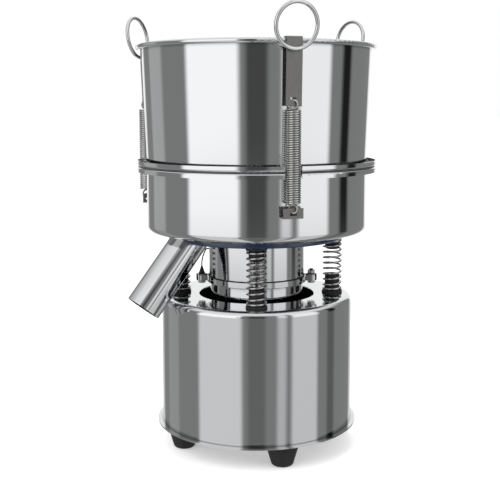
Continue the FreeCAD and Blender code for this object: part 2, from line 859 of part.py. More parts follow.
def make_hopper():
    """The hopper: a slightly tapered open shell, a flange with its edge turned up and a rolled rim."""
    lip = flange_radius - d.sheet
    wall_foot = hopper_foot + d.sheet
    rim_foot = hopper_top - d.rim_height
    body = turned("hopper_blank", (
        (hopper_foot_radius - d.sheet, hopper_foot),
        (flange_radius, hopper_foot),
        (flange_radius, hopper_foot + d.flange_depth),
        (lip, hopper_foot + d.flange_depth),
        (lip, wall_foot),
        (hopper_foot_radius, wall_foot),
        (hopper_top_radius, rim_foot),
        (rim_radius, rim_foot),
        (rim_radius, hopper_top),
        (hopper_top_radius - d.sheet, hopper_top),
    ))
    rounded(body, d.flange_round, (flange_radius, hopper_foot))
    rounded(body, d.flange_round - d.sheet, (lip, wall_foot))
    rounded(body, d.rim_round, (rim_radius, hopper_top), (rim_radius, rim_foot))
    rounded(body, d.sheet, (hopper_top_radius - d.sheet, hopper_top))
    wall = hopper_foot_radius + hopper_taper * d.flange_depth
    return keep(cut("hopper", body, clamp_notches("hopper_notch", wall)), "hopper")


# ---------------------------------------------------------------- motor under the tray


def joint_ears(name, low, height):
    """Four round ears on a flange, each with its bolt hole, returned as the ears and their holes."""
    ears, holes = [], []
    for index in range(EARS):
        azimuth = 360 / EARS * index
        x, y = outward(azimuth, ear_circle)
        tag = "%s_%d" % (name, index)
        ears.append(cylinder(tag + "_pad", d.ear_radius, height, low, x, y))
        ears.append(local_box(
            tag + "_web", azimuth, (joint_radius + can_radius) / 2, ear_circle, 2 * d.ear_radius,
            low, low + height))
        holes.append(cylinder(tag + "_hole", d.ear_hole_radius, height, low, x, y))
    return ears, holes


def make_motor_can():
    """The motor's upper can: a closed top under the tray, an upright wall, and a flange with four ears."""
    inside = can_radius - d.can_wall
    body = turned("can_blank", (
        (0, tray_underside - d.can_top_thickness),
        (inside, tray_underside - d.can_top_thickness),
        (inside, joint_level),
        (joint_radius, joint_level),
        (joint_radius, joint_level + d.joint_flange_thickness),
        (can_radius, joint_level + d.joint_flange_thickness),
        (can_radius, tray_underside),
        (0, tray_underside),
    ))
    ears, holes = joint_ears("can_ear", joint_level, d.joint_flange_thickness)
    solid = fuse("can_solid", body, *ears)
    return keep(cut("can", solid, fuse("can_holes", *holes)), "motor_can")


def make_motor_cup():
    """The motor's lower cup: flange with four ears, seat for the end shield, boss for the lower bearing."""
    inside = d.cup_radius - d.cup_wall
    boss = d.bearing_radius + d.bearing_boss_wall
    floor = cup_bottom + d.cup_floor
    flange_low = joint_level - d.joint_flange_thickness
    body = turned("cup_blank", (
        (d.shaft_hole_radius, cup_bottom),
        (d.cup_radius, cup_bottom),
        (d.cup_radius, flange_low),
        (joint_radius, flange_low),
        (joint_radius, joint_level),
        (shield_radius, joint_level),
        (shield_radius, joint_level - d.end_shield_thickness),
        (inside, joint_level - d.end_shield_thickness),
        (inside, floor),
        (boss, floor),
        (boss, floor + d.bearing_width),
        (d.bearing_radius, floor + d.bearing_width),
        (d.bearing_radius, floor),
        (d.shaft_hole_radius, floor),
    ))
    rounded(body, 2 * d.cup_wall, (d.cup_radius, cup_bottom))
    ears, holes = joint_ears("cup_ear", flange_low, d.joint_flange_thickness)
    solid = fuse("cup_solid", body, *ears)
    return keep(cut("cup", solid, fuse("cup_holes", *holes)), "motor_cup")


def make_end_shield():
    """The motor's upper end shield: a disc in the cup's seat with a boss for the upper bearing."""
    boss = d.bearing_radius + d.bearing_boss_wall
    low = joint_level - d.end_shield_thickness
    body = turned("end_shield", (
        (d.shaft_hole_radius, low),
        (d.bearing_radius, low),
        (d.bearing_radius, low - d.bearing_width),
        (boss, low - d.bearing_width),
        (boss, low),
        (shield_radius, low),
        (shield_radius, joint_level),
        (d.shaft_hole_radius, joint_level),
    ))
    return keep(body, "end_shield")


def make_bearings():
    """Two deep-groove bearings, shown as closed rings with running clearance on the shaft."""
    bore = d.shaft_radius + d.shaft_clearance
    upper = joint_level - d.end_shield_thickness - d.bearing_width
    keep(ring("bearing_up", d.bearing_radius, bore, d.bearing_width, upper), "bearing_upper")
    keep(ring("bearing_low", d.bearing_radius, bore, d.bearing_width, cup_bottom + d.cup_floor), "bearing_lower")


def make_stator():
    """The stator's stack fills the cup's bore, with a ring of windings on each face."""
    low = cup_bottom + d.stator_lift
    keep(ring("stack", d.cup_radius - d.cup_wall, d.stator_bore_radius, d.stator_height, low), "stator_stack")
    outer, inner = d.cup_radius - d.cup_wall - d.winding_clearance, d.winding_inner_radius
    lower = ring("coil_low", outer, inner, d.winding_height, low - d.winding_height)
    upper = ring("coil_up", outer, inner, d.winding_height, low + d.stator_height)
    coils = doc.addObject("Part::Compound", "coils")
    coils.Links = [lower, upper]
    keep(coils, "stator_windings")


def eccentric(name, label, radius, thickness, low):
    """A half-disc weight with a round hub on the shaft."""
    disc = cylinder(name + "_disc", radius, thickness, low)
    half = box(name + "_half", 2 * radius, radius, thickness, -radius, 0, low)
    hub = cylinder(name + "_hub", d.weight_hub_radius, thickness, low)
    bore = cylinder(name + "_bore", d.shaft_radius, thickness, low)
    solid = fuse(name + "_solid", common(name + "_lobe", disc, half), hub)
    keep(cut(name, solid, bore), label)


def make_rotor():
    """The turning part: shaft, core in the stator's bore, and one eccentric weight beyond each bearing."""
    foot = cup_bottom - d.weight_gap - d.weight_lower_thickness - d.shaft_tail_lower
    top = joint_level + d.weight_gap + d.weight_upper_thickness + d.shaft_tail_upper
    keep(cylinder("shaft", d.shaft_radius, top - foot, foot), "motor_shaft")
    low = cup_bottom + d.stator_lift
    core = d.stator_bore_radius - d.air_gap
    keep(ring("core", core, d.shaft_radius, d.stator_height, low), "rotor_core")
    eccentric(
        "weight_up", "weight_upper", can_radius - d.can_wall - d.weight_clearance, d.weight_upper_thickness,
        joint_level + d.weight_gap)
    eccentric(
        "weight_low", "weight_lower", d.weight_lower_radius, d.weight_lower_thickness,
        cup_bottom - d.weight_gap - d.weight_lower_thickness)


def hexagon(name, height, x, y, z):
    prism = doc.addObject("Part::Prism", name)
    prism.Polygon = 6
    bind(prism, Circumradius=d.hex_across_flats / math.sqrt(3), Height=height)
    return place(prism, x, y, z)


def make_ear_bolt(index):
    """A flange bolt: hex head under the ears, washer and, but for the earthed one, a nut above them."""
    azimuth = 360 / EARS * index
    x, y = outward(azimuth, ear_circle)
    under = joint_level - d.joint_flange_thickness
    above = joint_level + d.joint_flange_thickness
    tag = "ear_bolt_%d" % index
    earthed = index == EARS - 1
    length = d.ear_bolt_length - d.hex_nut_height / 2 if earthed else d.ear_bolt_length
    head = hexagon(tag + "_head", d.hex_head_height, x, y, under - d.hex_head_height)
    shank = cylinder(tag + "_shank", d.ear_bolt_radius, length, under, x, y)
    pieces = [fuse(tag + "_solid", head, shank)]
    for kind in ("washer", "nut"):
        if kind == "nut" and earthed:
            continue
        if kind == "washer":
            blank = cylinder(tag + "_washer_blank", d.washer_radius, d.washer_thickness, above, x, y)
            bore = cylinder(tag + "_washer_bore", d.ear_hole_radius, d.washer_thickness, above, x, y)
        else:
            level = above + d.washer_thickness
            blank = hexagon(tag + "_nut_blank", d.hex_nut_height, x, y, level)
            bore = cylinder(tag + "_nut_bore", d.ear_bolt_radius, d.hex_nut_height, level, x, y)
        pieces.append(cut("%s_%s" % (tag, kind), blank, bore))
    bolt = doc.addObject("Part::Compound", tag)
    bolt.Links = pieces
    keep(bolt, tag)


def lead_route(points, reach):
    """A wire of straight runs joined by arcs that are as large as the runs allow."""
    edges, start = [], points[0]
    for before, corner, after in zip(points, points[1:], points[2:]):
        back, on = (before - corner), (after - corner)
        half_turn = (math.pi - back.getAngle(on)) / 2
        setback = min(reach * min(back.Length, on.Length), 0.45 * min(back.Length, on.Length))
        radius = setback / math.tan(half_turn)
        back.normalize()
        on.normalize()
        first, last = corner + back * setback, corner + on * setback
        middle = (back + on).normalize()
        centre = corner + middle * (radius / math.cos(half_turn))
        edges.append(Part.LineSegment(start, first).toShape())
        edges.append(Part.Arc(first, centre - middle * radius, last).toShape())
        start = last
    edges.append(Part.LineSegment(start, points[-1]).toShape())
    return Part.Wire(edges)


def make_earth_lead():
    """The earth lead: a boot on the left ear's bolt, and a wire that goes up into the motor's can."""
    axis = -ear_circle.number
    foot = (joint_level + d.joint_flange_thickness + d.washer_thickness).number
    tip = foot + d.boot_height.number
    entry = (tray_underside - d.lead_entry_drop).number
    wall = -can_radius.number
    radius = d.lead_radius.number
    boot = Part.makeCone(d.boot_radius.number, radius * 1.3, d.boot_height.number, Vector(axis, 0, foot))
    stud_top = (joint_level - d.joint_flange_thickness + d.ear_bolt_length - d.hex_nut_height / 2).number
    room = Part.makeCylinder(d.ear_bolt_radius.number, stud_top - foot, Vector(axis, 0, foot))
    points = [
        Vector(axis, 0, tip - d.lead_overlap.number),
        Vector(axis, 0, tip + d.lead_rise.number),
        Vector(axis + d.lead_lean.number, 0, entry - d.lead_bend.number),
        Vector(axis + d.lead_turn_in.number, 0, entry),
        Vector(wall, 0, entry),
    ]
    route = lead_route(points, 0.45)
    section = Part.Wire([Part.Circle(points[0], Vector(0, 0, 1), radius).toShape()])
    wire = route.makePipeShell([section], True, False)
    shell = Part.makeCylinder(can_radius.number, d.can_height.number, Vector(0, 0, joint_level.number))
    keep(free_shape("lead", boot.cut(room).fuse(wire).cut(shell)), "earth_lead")


# ---------------------------------------------------------------- clamps

hook_low = pan_top - d.lug_pin_drop
coil_foot = hook_low + 2 * d.hook_radius + d.coil_wire_radius
coil_head = coil_foot + d.coil_length
hook_high = coil_head + d.coil_wire_radius + 2 * d.hook_radius

# the hopper widens upwards, so the coils' upper end is the place where its wall comes nearest
wall_at_head = hopper_foot_radius + hopper_taper * (coil_head - hopper_foot - d.sheet)
clamp_radius = wall_at_head + d.clamp_clearance + d.coil_outer_radius


def hook_slot(name, azimuth, near, far, pin_height, opens_up):
    """The slot that a hook passes through, with the slack on the side that the hook bears on."""
    below = d.coil_wire_radius + (d.hook_slack if opens_up else 2 * d.hook_slack)
    above = d.coil_wire_radius + (2 * d.hook_slack if opens_up else d.hook_slack)
    return local_box(name, azimuth, near, far, d.hook_slot_width, pin_height - below, pin_height + above)


def make_lug(clamp, azimuth):
    """A lug of sheet bent to a channel: back against the wall, shelf, and a lip with the hook's slot."""
    half = d.lug_sheet / 2
    near = d.pan_radius - d.lug_sheet
    shelf = hook_low - d.lug_shelf_drop
    back = shelf + d.lug_back_rise
    tip = hook_low + d.lug_lip
    lip_in = clamp_radius - half
    lip_out = clamp_radius + half
    body = bent_sheet("lug_blank_" + clamp, (
        (near, shelf),
        (lip_out, shelf),
        (lip_out, tip),
        (lip_in, tip),
        (lip_in, shelf + d.lug_sheet),
        (d.pan_radius + d.lug_sheet, shelf + d.lug_sheet),
        (d.pan_radius + d.lug_sheet, back),
        (near, back),
    ), d.lug_width)
    body.Placement = Placement(Vector(), facing(azimuth))
    wall = cylinder("lug_wall_" + clamp, d.pan_radius, d.pan_depth, pan_floor)
    slot = hook_slot("lug_slot_" + clamp, azimuth, lip_in - half, lip_out + half, hook_low, False)
    keep(cut("lug_" + clamp, body, fuse("lug_tools_" + clamp, wall, slot)), "clamp_lug_" + clamp)


def make_extension_spring(clamp, azimuth):
    """An extension spring: close-wound coils as one tube, a cross wire and a round hook at each end."""
    x, y = outward(azimuth, clamp_radius)
    tag = "coil_%s" % clamp
    bore = d.coil_outer_radius - 2 * d.coil_wire_radius
    outer = cylinder(tag + "_out", d.coil_outer_radius, d.coil_length, coil_foot, x, y)
    inner = cylinder(tag + "_in", bore, d.coil_length, coil_foot, x, y)
    pieces = [cut(tag + "_body", outer, inner)]
    plane = facing(azimuth + 90 - d.hook_turn.number)
    cross = plane.multVec(Vector(1, 0, 0))
    along = Rotation(Vector(0, 0, 1), cross)
    reach = d.coil_outer_radius - d.coil_wire_radius
    for end, level, hook in (("low", coil_foot, hook_low + d.hook_radius),
                             ("high", coil_head, hook_high - d.hook_radius)):
        start = Vector(x.number, y.number, level.number) - cross * reach.number
        bar = cylinder("%s_%s_bar" % (tag, end), d.coil_wire_radius, 2 * reach, rotation=along)
        bar.Placement.Base = start
        loop = doc.addObject("Part::Torus", "%s_%s_hook" % (tag, end))
        bind(loop, Radius1=d.hook_radius, Radius2=d.coil_wire_radius)
        place(loop, x, y, hook, plane.multiply(Rotation(Vector(1, 0, 0), 90)))
        pieces += [bar, loop]
    keep(fuse(tag, *pieces), "clamp_spring_" + clamp)


def make_strap(clamp, azimuth):
    """The clamp's strap: slotted end for the hook, a lean out past the rim, and a tab bent over the rim."""
    half = d.strap_sheet / 2
    low_in = clamp_radius - half
    low_out = clamp_radius + half
    top_in = rim_radius + d.strap_rim_clearance
    top_out = top_in + d.strap_sheet
    tab_under = hopper_top + d.tab_clearance
    tab_over = tab_under + d.strap_sheet
    tab_end = top_in - d.tab_reach
    body = bent_sheet("strap_blank_" + clamp, (
        (low_in, hook_high - d.strap_end_margin),
        (low_out, hook_high - d.strap_end_margin),
        (low_out, hook_high + d.strap_bend_rise),
        (top_out, hopper_top - d.strap_upright_drop),
        (top_out, tab_over),
        (tab_end, tab_over),
        (tab_end, tab_under),
        (top_in, tab_under),
        (top_in, hopper_top - d.strap_upright_drop),
        (low_in, hook_high + d.strap_bend_rise),
    ), d.strap_width)
    half_width = d.strap_width / 2
    round_edges(body, "tab_round_" + clamp, d.tab_round,
                [(tab_end, half_width, None), (tab_end, -half_width, None)])
    round_edges(body, "strap_bend_" + clamp, d.strap_sheet, [(top_out, 0, tab_over)])
    body.Placement = Placement(Vector(), facing(azimuth))
    slot = hook_slot("strap_slot_" + clamp, azimuth, low_in - half, low_out + half, hook_high, True)
    keep(cut("strap_" + clamp, body, slot), "clamp_strap_" + clamp)


def make_pull_ring(clamp, azimuth, ring_turn):
    """The pull ring, welded by its lowest point to the strap and leaning outwards."""
    lean = math.radians(d.ring_lean.number)
    turn = math.radians(ring_turn)
    face = rim_radius + d.strap_rim_clearance + d.strap_sheet
    foot = face + d.ring_wire_radius + d.strap_width / 2 * abs(math.tan(turn))
    reach = foot + d.ring_mean_radius * math.sin(lean)
    height = hopper_top - d.ring_foot_drop + d.ring_mean_radius * math.cos(lean)
    x, y = outward(azimuth, reach)
    loop = doc.addObject("Part::Torus", "ring_" + clamp)
    bind(loop, Radius1=d.ring_mean_radius, Radius2=d.ring_wire_radius)
    stand = Rotation(Vector(0, 1, 0), 90 + d.ring_lean.number)
    place(loop, x, y, height, facing(azimuth + ring_turn).multiply(stand))
    keep(loop, "pull_ring_" + clamp)


# ---------------------------------------------------------------- the machine

for foot_index in range(FEET):
    make_foot(foot_index)
make_bottom_plate()
make_drum()
for seat_index in range(SPRINGS):
    make_seat("spring_seat_lower", seat_index, d.lower_core_height, drum_top, False)
    make_seat("spring_seat_upper", seat_index, d.upper_core_height, tray_underside, True)
make_springs()
make_switch()
make_cord_gland()
make_capacitor()

make_tray()
make_pan()
make_chute()
make_screen()
make_hopper()

make_motor_can()
make_motor_cup()
make_end_shield()
make_bearings()
make_stator()
make_rotor()
for bolt_index in range(EARS):
    make_ear_bolt(bolt_index)
make_earth_lead()

for clamp_name, clamp_azimuth, clamp_ring_turn in CLAMPS:
    make_lug(clamp_name, clamp_azimuth)
    make_extension_spring(clamp_name, clamp_azimuth)
    make_strap(clamp_name, clamp_azimuth)
    make_pull_ring(clamp_name, clamp_azimuth, clamp_ring_turn)

doc.recompute()

faults = [feature.Name for feature in doc.Objects if {"Invalid", "Error"} & set(feature.State)]
for node in nodes:
    if node.Shape.isNull() or not node.Shape.isValid() or node.Shape.Volume <= 0:
        faults.append(node.Label)
if faults:
    raise RuntimeError("not built: " + ", ".join(faults))

os.makedirs("parts", exist_ok=True)
for node in nodes:
    node.Shape.exportStep("parts/%s.step" % node.Label)
    print("%-24s %2d solids %10.0f mm3" % (node.Label, len(node.Shape.Solids), node.Shape.Volume))
print(len(nodes), "nodes")
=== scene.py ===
import math

import bpy
from bpy.props import FloatProperty, FloatVectorProperty, IntProperty, PointerProperty
from bpy.types import Operator, Panel, PropertyGroup
from mathutils import Matrix, Vector
from mathutils.geometry import interpolate_bezier


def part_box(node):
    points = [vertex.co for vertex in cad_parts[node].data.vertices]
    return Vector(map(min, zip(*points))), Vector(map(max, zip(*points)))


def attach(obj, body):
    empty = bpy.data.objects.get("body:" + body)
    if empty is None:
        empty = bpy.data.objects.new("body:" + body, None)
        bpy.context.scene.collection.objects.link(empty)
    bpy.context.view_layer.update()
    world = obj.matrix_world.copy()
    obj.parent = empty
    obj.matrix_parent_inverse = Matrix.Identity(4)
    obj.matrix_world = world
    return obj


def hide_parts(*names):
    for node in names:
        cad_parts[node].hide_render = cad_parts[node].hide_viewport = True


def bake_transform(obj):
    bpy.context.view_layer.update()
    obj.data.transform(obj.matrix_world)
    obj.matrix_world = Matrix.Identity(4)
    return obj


bl_info = {
    "name": "Vibrating Sieve",
    "version": (1, 0, 0),
    "blender": (4, 5, 0),
    "location": "3D View > Sidebar > Sieve",
    "description": "Finishes a bench vibrating sieve: steel, springs, rubber, welds and fasteners",
    "category": "Object",
}

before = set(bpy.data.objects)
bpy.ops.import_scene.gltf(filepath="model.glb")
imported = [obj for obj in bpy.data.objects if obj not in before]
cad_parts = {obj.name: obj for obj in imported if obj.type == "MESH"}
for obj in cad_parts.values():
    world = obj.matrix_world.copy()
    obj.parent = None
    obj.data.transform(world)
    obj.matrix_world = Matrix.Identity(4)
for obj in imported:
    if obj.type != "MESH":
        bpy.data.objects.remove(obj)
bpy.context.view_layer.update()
MM = 0.001


# ------------------------------------------------------------------ places on the machine


def middle(node):
    """The middle of a solid's box."""
    low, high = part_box(node)
    return (low + high) / 2


def outward(azimuth):
    """Level direction from the machine's axis; azimuth is in degrees from the front towards +X."""
    angle = math.radians(azimuth)
    return Vector((math.sin(angle), -math.cos(angle), 0))


CLAMPS = {"front": 16.0, "back": 127.0, "left": -105.0}
CHUTE_AZIMUTH = -62.0
CHUTE_SLOPE = 51.8
PAN_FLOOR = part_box("collecting_pan")[0].z
CHUTE_WAY = outward(CHUTE_AZIMUTH) * math.cos(math.radians(CHUTE_SLOPE))
CHUTE_WAY.z = -math.sin(math.radians(CHUTE_SLOPE))


# ------------------------------------------------------------------ sizes and colours a user would change


def linear(hex_colour):
    """A colour written as sRGB hex, in the linear values that a shader takes."""
    shares = [int(hex_colour[i:i + 2], 16) / 255 for i in (1, 3, 5)]
    return tuple(s / 12.92 if s <= 0.04045 else ((s + 0.055) / 1.055) ** 2.4 for s in shares)


def size(name, description, default):
    return FloatProperty(name=name, description=description, default=default, min=0.0, subtype="DISTANCE",
                         unit="LENGTH")


def colour(name, description, hex_colour):
    return FloatVectorProperty(name=name, description=description, default=linear(hex_colour), min=0.0,
                               max=1.0, subtype="COLOR")


class SieveSprings(PropertyGroup):
    main_wire: size("Main spring wire", "Radius of the compression springs' wire", 1.4 * MM)
    main_reach: size("Main spring coil", "Mean radius of the compression springs' coils", 12.1 * MM)
    main_turns: FloatProperty(name="Main spring turns", description="Turns of a compression spring, ends counted",
                              default=10.5, min=3.0)
    clamp_wire: size("Clamp spring wire", "Radius of the extension springs' wire", 1.2 * MM)
    clamp_reach: size("Clamp spring coil", "Mean radius of the extension springs' coils", 8.1 * MM)
    clamp_turns: IntProperty(name="Clamp spring turns", description="Turns of an extension spring's body",
                             default=41, min=5)
    hook_reach: size("Hook", "Mean radius of the extension springs' round hooks", 5.3 * MM)


class SieveFinishes(PropertyGroup):
    steel: colour("Steel", "Buffed stainless steel", "#d4d5d6")
    brushed: colour("Brushed steel", "Brushed stainless steel of straps and lugs", "#8d8c8a")
    wire: colour("Spring wire", "Drawn spring wire", "#bdbdbc")
    enamel: colour("Enamel", "Stove enamel of the carrier tray", "#0a2547")
    rubber: colour("Rubber", "Moulded rubber of feet and spring seats", "#101010")
    plastic: colour("Plastic", "Moulded plastic of switch and gland", "#151515")
    rocker: colour("Rocker", "Moulded plastic of the switch's rocker", "#a3120c")


class SieveStudio(PropertyGroup):
    lens: FloatProperty(name="Lens", description="Focal length of the camera", default=66.5, min=1.0,
                        subtype="DISTANCE_CAMERA")
    distance: size("Camera distance", "Camera to the machine's axis, along the ground", 1267.4 * MM)
    height: size("Camera height", "Camera above the ground", 468.6 * MM)
    pitch: FloatProperty(name="Camera pitch", description="How far the camera looks down",
                         default=math.radians(6.42), subtype="ANGLE", unit="ROTATION")
    shift_x: FloatProperty(name="Shift X", description="Sideways lens shift", default=-0.013)
    shift_y: FloatProperty(name="Shift Y", description="Upright lens shift", default=-0.08)
    floor: colour("Floor", "Pale floor", "#e9e9e9")


# ------------------------------------------------------------------ materials


def add_node(tree, kind, settings=(), inputs=()):
    """Adds one node with its settings; an input is a constant, or the socket that it is linked to."""
    node = tree.nodes.new(kind)
    for name, value in dict(settings).items():
        setattr(node, name, value)
    for name, value in dict(inputs).items():
        if isinstance(value, bpy.types.NodeSocket):
            tree.links.new(value, node.inputs[name])
        else:
            node.inputs[name].default_value = value
    return node


def fill_ramp(node, stops):
    """Gives a colour ramp its stops, each a place and a grey or a colour."""
    elements = node.color_ramp.elements
    while len(elements) < len(stops):
        elements.new(0.5)
    for element, (place, shade) in zip(elements, stops):
        element.position = place
        element.color = tuple(shade) + (1,) if isinstance(shade, tuple) else (shade, shade, shade, 1)
    return node


def new_material(name, **surface):
    """A material with constants on its shader; returns it with its tree and shader."""
    material = bpy.data.materials.new(name)
    material.use_nodes = True
    tree = material.node_tree
    shader = tree.nodes["Principled BSDF"]
    for socket, value in surface.items():
        value = tuple(value) + (1,) if socket == "Base_Color" else value
        shader.inputs[socket.replace("_", " ")].default_value = value
    material.diffuse_color = tuple(shader.inputs["Base Color"].default_value)
    return material, tree, shader


def grain(tree, stretch, **settings):
    """Noise over the object's own coordinates; stretch is the number of cells per metre along X, Y, Z."""
    place = add_node(tree, "ShaderNodeTexCoord")
    scaled = add_node(tree, "ShaderNodeMapping", {}, {0: place.outputs["Object"], "Scale": stretch})
    return add_node(tree, "ShaderNodeTexNoise", {}, {"Vector": scaled.outputs[0], "Scale": 1.0, **settings})


def spread(tree, source, low, high):
    """Maps noise to a range, for roughness."""
    return add_node(tree, "ShaderNodeMapRange", {}, {
        "Value": source, "From Min": 0.3, "From Max": 0.7, "To Min": low, "To Max": high}).outputs[0]


def relief(tree, shader, source, depth, strength=1.0):
    """Bump of a real depth in metres."""
    bump = add_node(tree, "ShaderNodeBump", {}, {"Height": source, "Distance": depth, "Strength": strength})
    tree.links.new(bump.outputs[0], shader.inputs["Normal"])


def tinted(tree, shader, source, colours):
    """Colour variation from noise, between two or more tones."""
    stops = [(0.3 + 0.4 * i / (len(colours) - 1), tuple(c)) for i, c in enumerate(colours)]
    ramp = fill_ramp(add_node(tree, "ShaderNodeValToRGB", {}, {0: source}), stops)
    tree.links.new(ramp.outputs[0], shader.inputs["Base Color"])


def shade(tone, factor):
    return tuple(min(1, c * factor) for c in tone)


def buffed_steel(name, tone, turned):
    """Stainless 304 sheet, mirror buffed: sharp upright reflections, a faint veil of lines round the shell."""
    material, tree, shader = new_material(name, Base_Color=tone, Metallic=1.0, Roughness=0.07)
    # buffing lines run round the shell about 0.8 mm apart, so they stretch reflections upright
    lines = grain(tree, (6, 6, 1200) if turned else (60, 60, 60), Detail=3.0)
    tree.links.new(spread(tree, lines.outputs[0], 0.05, 0.09), shader.inputs["Roughness"])
    # painted shade: ambient occlusion darkens the colour in folds and under rims, as a dark line about 4 mm wide
    fold_occlusion = add_node(tree, "ShaderNodeAmbientOcclusion", {"samples": 8}, {"Distance": 0.006})
    painted_fold_shade = fill_ramp(add_node(tree, "ShaderNodeValToRGB", {}, {0: fold_occlusion.outputs["AO"]}),
                      [(0.15, shade(tone, 0.12)), (0.8, tone)])
    tree.links.new(painted_fold_shade.outputs[0], shader.inputs["Base Color"])
    # the sheet is never quite true: waves of about 60 mm make the reflected edges wander
    waves = grain(tree, (14, 14, 5), Detail=0.0)
    relief(tree, shader, waves.outputs[0], 0.00035, 0.5)
    if turned:
        around = add_node(tree, "ShaderNodeTangent", {"direction_type": "RADIAL", "axis": "Z"})
        tree.links.new(around.outputs[0], shader.inputs["Tangent"])
        shader.inputs["Anisotropic"].default_value = 0.7
        shader.inputs["Anisotropic Rotation"].default_value = 0.25
    return material


def brushed_steel(name, tone):
    """Stainless strip, belt brushed lengthwise: a dull grey with fine upright lines."""
    material, tree, shader = new_material(name, Base_Color=tone, Metallic=1.0, Roughness=0.42)
    lines = grain(tree, (1500, 1500, 25), Detail=4.0)      # grit lines 0.7 mm apart, drawn coarse to show
    tinted(tree, shader, lines.outputs[0], (shade(tone, 0.86), tone, shade(tone, 1.1)))
    tree.links.new(spread(tree, lines.outputs[0], 0.36, 0.5), shader.inputs["Roughness"])
    relief(tree, shader, lines.outputs[0], 0.00002)
    return material


def drawn_wire(name, tone):
    """Spring wire, drawn and passivated: bright with faint draw marks and oil-dark patches."""
    material, tree, shader = new_material(name, Base_Color=tone, Metallic=1.0, Roughness=0.22)
    marks = grain(tree, (700, 700, 700), Detail=2.0)
    tinted(tree, shader, marks.outputs[0], (shade(tone, 0.8), tone, shade(tone, 1.08)))
    tree.links.new(spread(tree, marks.outputs[0], 0.16, 0.3), shader.inputs["Roughness"])
    return material


def stove_enamel(name, tone):
    """Stove enamel on steel: deep colour under a glossy film with a soft orange peel."""
    material, tree, shader = new_material(
        name, Base_Color=tone, Roughness=0.3, Coat_Weight=0.6, Coat_Roughness=0.08)
    peel = grain(tree, (420, 420, 420), Detail=1.0)         # orange peel cells of about 2.4 mm
    tinted(tree, shader, peel.outputs[0], (shade(tone, 0.9), tone, shade(tone, 1.1)))
    relief(tree, shader, peel.outputs[0], 0.00004, 0.6)
    return material


def moulded_rubber(name, tone):
    """Moulded nitrile rubber: black, matt, with a fine spark-eroded grain and a grey bloom."""
    material, tree, shader = new_material(
        name, Base_Color=tone, Roughness=0.6, Sheen_Weight=0.06, Sheen_Roughness=0.5)
    pits = grain(tree, (1400, 1400, 1400), Detail=3.0)      # mould grain of 0.7 mm
    bloom = grain(tree, (60, 60, 60), Detail=2.0)
    tinted(tree, shader, bloom.outputs[0], (tone, shade(tone, 1.5)))
    tree.links.new(spread(tree, pits.outputs[0], 0.5, 0.7), shader.inputs["Roughness"])
    relief(tree, shader, pits.outputs[0], 0.00005, 0.7)
    return material


def moulded_plastic(name, tone, roughness=0.32):
    """Injection-moulded plastic: even colour, a soft gloss and a fine texture of 0.5 mm."""
    material, tree, shader = new_material(name, Base_Color=tone, Roughness=roughness)
    texture = grain(tree, (2000, 2000, 2000), Detail=2.0)
    tree.links.new(spread(tree, texture.outputs[0], roughness * 0.85, roughness * 1.2), shader.inputs["Roughness"])
    relief(tree, shader, texture.outputs[0], 0.00002, 0.5)
    return material


def rough_metal(name, tone, cell, depth, roughness=0.55):
    """Cast or plated metal: a grain of the given cell size in metres and its real relief."""
    material, tree, shader = new_material(name, Base_Color=tone, Metallic=1.0, Roughness=roughness)
    skin = grain(tree, (1 / cell,) * 3, Detail=4.0)
    tinted(tree, shader, skin.outputs[0], (shade(tone, 0.75), tone, shade(tone, 1.15)))
    tree.links.new(spread(tree, skin.outputs[0], roughness * 0.8, roughness * 1.2), shader.inputs["Roughness"])
    relief(tree, shader, skin.outputs[0], depth)
    return material


def stacked_sheets(name, tone):
    """Electrical steel sheets of 0.5 mm, stacked: fine dark lines round the stack, drawn 1 mm apart to show."""
    material, tree, shader = new_material(name, Base_Color=tone, Metallic=1.0, Roughness=0.5)
    place = add_node(tree, "ShaderNodeTexCoord")
    lines = add_node(tree, "ShaderNodeTexWave", {"bands_direction": "Z", "wave_profile": "SAW"},
                     {"Vector": place.outputs["Object"], "Scale": 1000 / 6.2832 / 3, "Distortion": 0.0})
    tinted(tree, shader, lines.outputs[1], (shade(tone, 0.5), tone))
    relief(tree, shader, lines.outputs[1], 0.0001)
    return material


def wound_copper(name, tone):
    """Enamelled copper wire of 0.6 mm, wound and varnished: warm strands under amber gloss."""
    material, tree, shader = new_material(name, Base_Color=tone, Metallic=1.0, Roughness=0.3, Coat_Weight=0.5)
    place = add_node(tree, "ShaderNodeTexCoord")
    strands = add_node(tree, "ShaderNodeTexWave", {"wave_type": "RINGS", "rings_direction": "Z"},
                       {"Vector": place.outputs["Object"], "Scale": 260.0, "Distortion": 1.5, "Detail": 1.0})
    tinted(tree, shader, strands.outputs[1], (shade(tone, 0.45), tone, shade(tone, 1.1)))
    relief(tree, shader, strands.outputs[1], 0.0003)
    return material


def wire_cloth(name, tone):
    """Woven stainless cloth: wires over and under each other. Real apertures of 0.25 mm are drawn 2 mm wide."""
    material, tree, shader = new_material(name, Base_Color=tone, Metallic=1.0, Roughness=0.35)
    place = add_node(tree, "ShaderNodeTexCoord")
    waves = []
    for turn in (0, math.pi / 2):
        laid = add_node(tree, "ShaderNodeMapping", {}, {0: place.outputs["Object"], "Rotation": (0, 0, turn)})
        waves.append(add_node(tree, "ShaderNodeTexWave", {"bands_direction": "X"}, {
            "Vector": laid.outputs[0], "Scale": 500 / 6.2832 * 1.57, "Distortion": 0.0}).outputs[1])
    higher = add_node(tree, "ShaderNodeMath", {"operation": "MAXIMUM"}, {0: waves[0], 1: waves[1]}).outputs[0]
    ramp = fill_ramp(add_node(tree, "ShaderNodeValToRGB", {}, {0: higher}),
                     [(0.45, (0.02, 0.02, 0.02)), (0.75, tuple(tone))])
    tree.links.new(ramp.outputs[0], shader.inputs["Base Color"])
    relief(tree, shader, higher, 0.0004)
    return material


